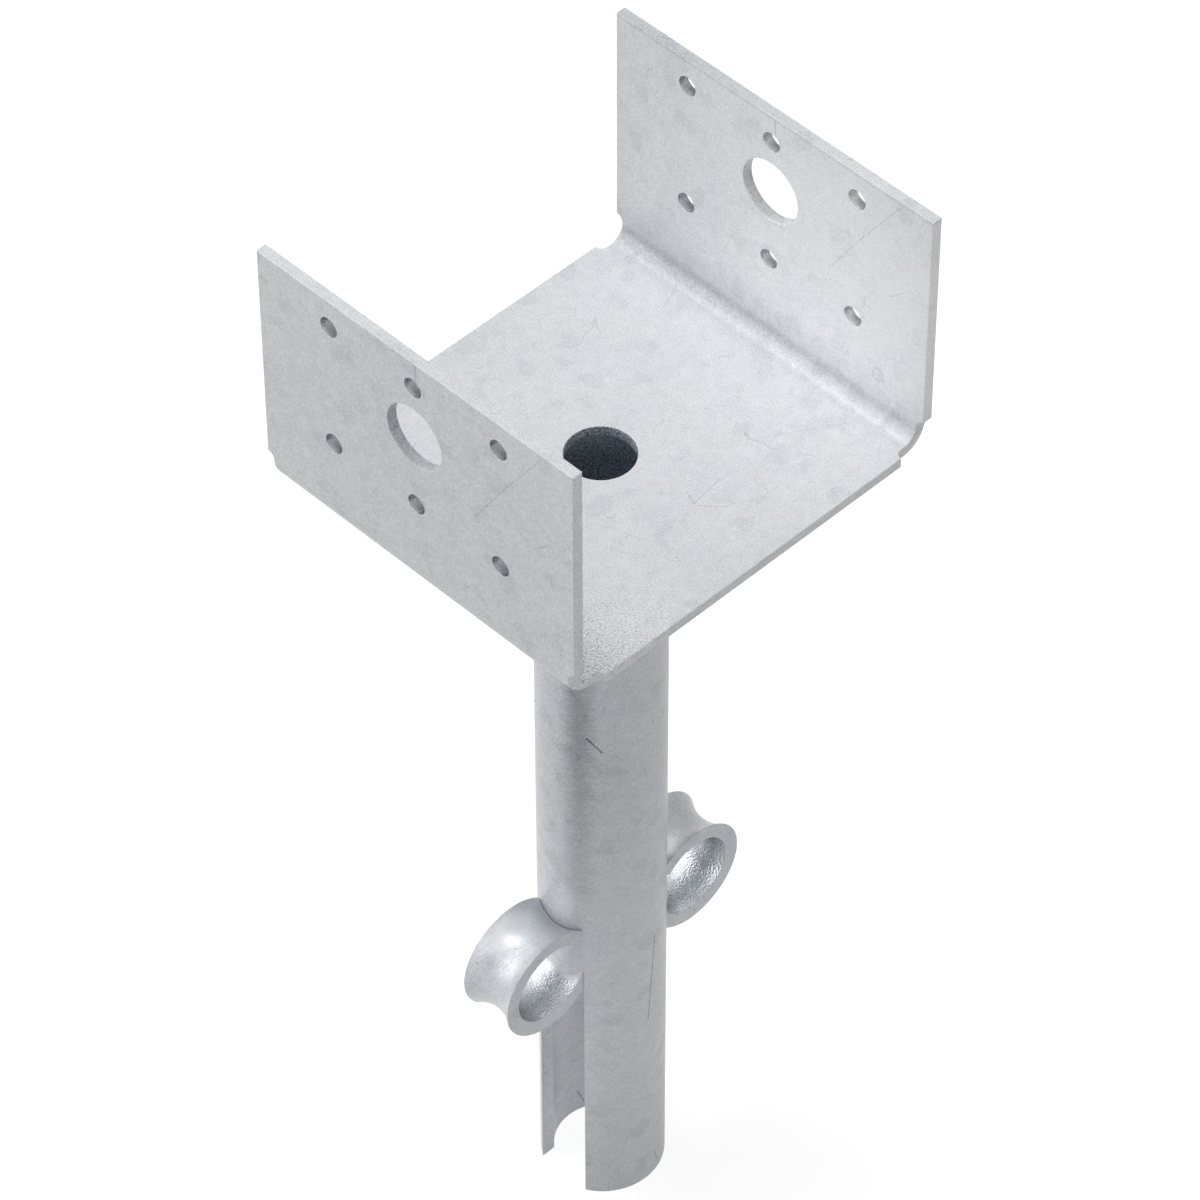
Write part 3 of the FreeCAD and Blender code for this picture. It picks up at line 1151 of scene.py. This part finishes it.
@dataclass(frozen=True)
class PhotoCamera:
    """The photograph's viewpoint, fitted to it: a long lens that looks down at the near corner."""

    aim: Point = (-0.15, 0.15, -40.71)
    azimuth: float = -44.6
    elevation: float = 46.687
    roll: float = -0.175
    distance: float = 1201.86
    lens: float = 184.964
    sensor: float = 36.0

    def place(self) -> None:
        """Add the camera and make it the scene's own."""
        data = bpy.data.cameras.new("photo_camera")
        data.lens = self.lens
        data.sensor_width = self.sensor
        camera = bpy.data.objects.new("photo_camera", data)
        bpy.context.scene.collection.objects.link(camera)
        towards = direction(self.azimuth, self.elevation)
        turn = towards.to_track_quat("Z", "Y").to_matrix().to_4x4()
        spot = (Vector(self.aim) + towards * self.distance) * MM
        roll = Matrix.Rotation(math.radians(self.roll), 4, "Z")
        camera.matrix_world = Matrix.Translation(spot) @ turn @ roll
        bpy.context.scene.camera = camera


@dataclass
class Studio:
    """A white sweep under soft lamps: a small one overhead, and large low ones all round."""

    floor_size: float = 6000.0
    floor_colour: str = "#a6a6a6"
    floor_glow: float = 0.86    # under the part, where the lamps make up the rest of white
    lit_reach: float = 500.0    # how far from the part they still do
    lamps: tuple[SoftBox, ...] = (
        SoftBox("top", -150.0, 80.0, 1500.0, 650.0, 0.53),
        SoftBox("rear", 180.0, 40.0, 1500.0, 1700.0, 0.05),
        SoftBox("rear_left", -160.0, 25.0, 1500.0, 1700.0, 0.43),
        SoftBox("left", -135.0, 12.0, 1500.0, 1200.0, 0.25),
        SoftBox("front_fill", -45.0, 8.0, 1500.0, 1600.0, 0.47),
        SoftBox("right_fill", 45.0, 10.0, 1500.0, 1200.0, 0.21),
    )

    def build(self) -> None:
        """Set the floor, the world, the lamps and the camera."""
        self.lay_floor()
        self.paint_world()
        middle = (Vector(CAD_BOX[0]) + Vector(CAD_BOX[1])) / 2
        for lamp in self.lamps:
            lamp.place(middle)
        PhotoCamera().place()
        bpy.context.scene.view_settings.view_transform = "Standard"
        LOG.info("studio built, %d lamps", len(self.lamps))

    def seen_white(self, tree: Tree) -> Socket:
        """Pick out the rays that see the background itself.

        Args:
            tree: the tree of the floor's material or of the world.

        Returns:
            A socket that gives 1 for rays from the lens, a gloss or glass, and 0 for others.
        """
        rays = add_node(tree, "ShaderNodeLightPath")
        either = add_node(tree, "ShaderNodeMath", {
            0: rays.outputs["Is Camera Ray"], 1: rays.outputs["Is Glossy Ray"],
        }, operation="MAXIMUM").outputs[0]
        return add_node(tree, "ShaderNodeMath", {
            0: either, 1: rays.outputs["Is Transmission Ray"],
        }, operation="MAXIMUM").outputs[0]

    def lay_floor(self) -> None:
        """Lay the floor under the pipe's foot."""
        half = self.floor_size * MM / 2
        level = CAD_BOX[0][2]
        corners = [(x * half, y * half, level) for x, y in ((-1, -1), (1, -1), (1, 1), (-1, 1))]
        mesh = bpy.data.meshes.new("studio_floor")
        mesh.from_pydata(corners, [], [(0, 1, 2, 3)])
        mesh.materials.append(self.floor_material())
        floor = bpy.data.objects.new("studio_floor", mesh)
        bpy.context.scene.collection.objects.link(floor)

    def floor_material(self) -> bpy.types.Material:
        """Make the sweep's white paper, lit up a little from within.

        Returns:
            The material, whose glow grows where the lamps fall off.
        """
        material = bpy.data.materials.new("white_paper_sweep")
        material.use_nodes = True
        tree = material.node_tree
        tree.nodes.clear()
        paper = add_node(tree, "ShaderNodeBsdfDiffuse", {"Color": linear_rgba(self.floor_colour)})
        place = add_node(tree, "ShaderNodeTexCoord").outputs["Object"]
        away = add_node(tree, "ShaderNodeVectorMath", {0: place}, operation="LENGTH").outputs["Value"]
        strength = add_node(tree, "ShaderNodeMapRange", {
            "Value": away, "From Min": self.lit_reach * MM, "From Max": 2 * self.lit_reach * MM,
            "To Min": self.floor_glow, "To Max": 1.0,
        }).outputs[0]
        glow = add_node(tree, "ShaderNodeMath", {
            0: self.seen_white(tree), 1: strength,
        }, operation="MULTIPLY").outputs[0]
        white = add_node(tree, "ShaderNodeEmission", {"Strength": glow})
        mixed = add_node(tree, "ShaderNodeAddShader", {0: paper.outputs[0], 1: white.outputs[0]})
        add_node(tree, "ShaderNodeOutputMaterial", {"Surface": mixed.outputs[0]})
        return material

    def paint_world(self) -> None:
        """Make the world white to the lens and in reflections, and otherwise dark."""
        world = bpy.data.worlds.new("white_studio")
        bpy.context.scene.world = world
        world.use_nodes = True
        tree = world.node_tree
        tree.nodes.clear()
        backing = add_node(tree, "ShaderNodeBackground", {
            "Color": (1.0, 1.0, 1.0, 1.0), "Strength": self.seen_white(tree),
        })
        add_node(tree, "ShaderNodeOutputWorld", {"Surface": backing.outputs[0]})


def main() -> None:
    """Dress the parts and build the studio."""
    logging.basicConfig(level=logging.INFO, format="%(message)s")
    Saddle().dress()
    AnchorPipe().dress()
    WeldBead().build()
    Studio().build()


if __name__ == "__main__":
    main()
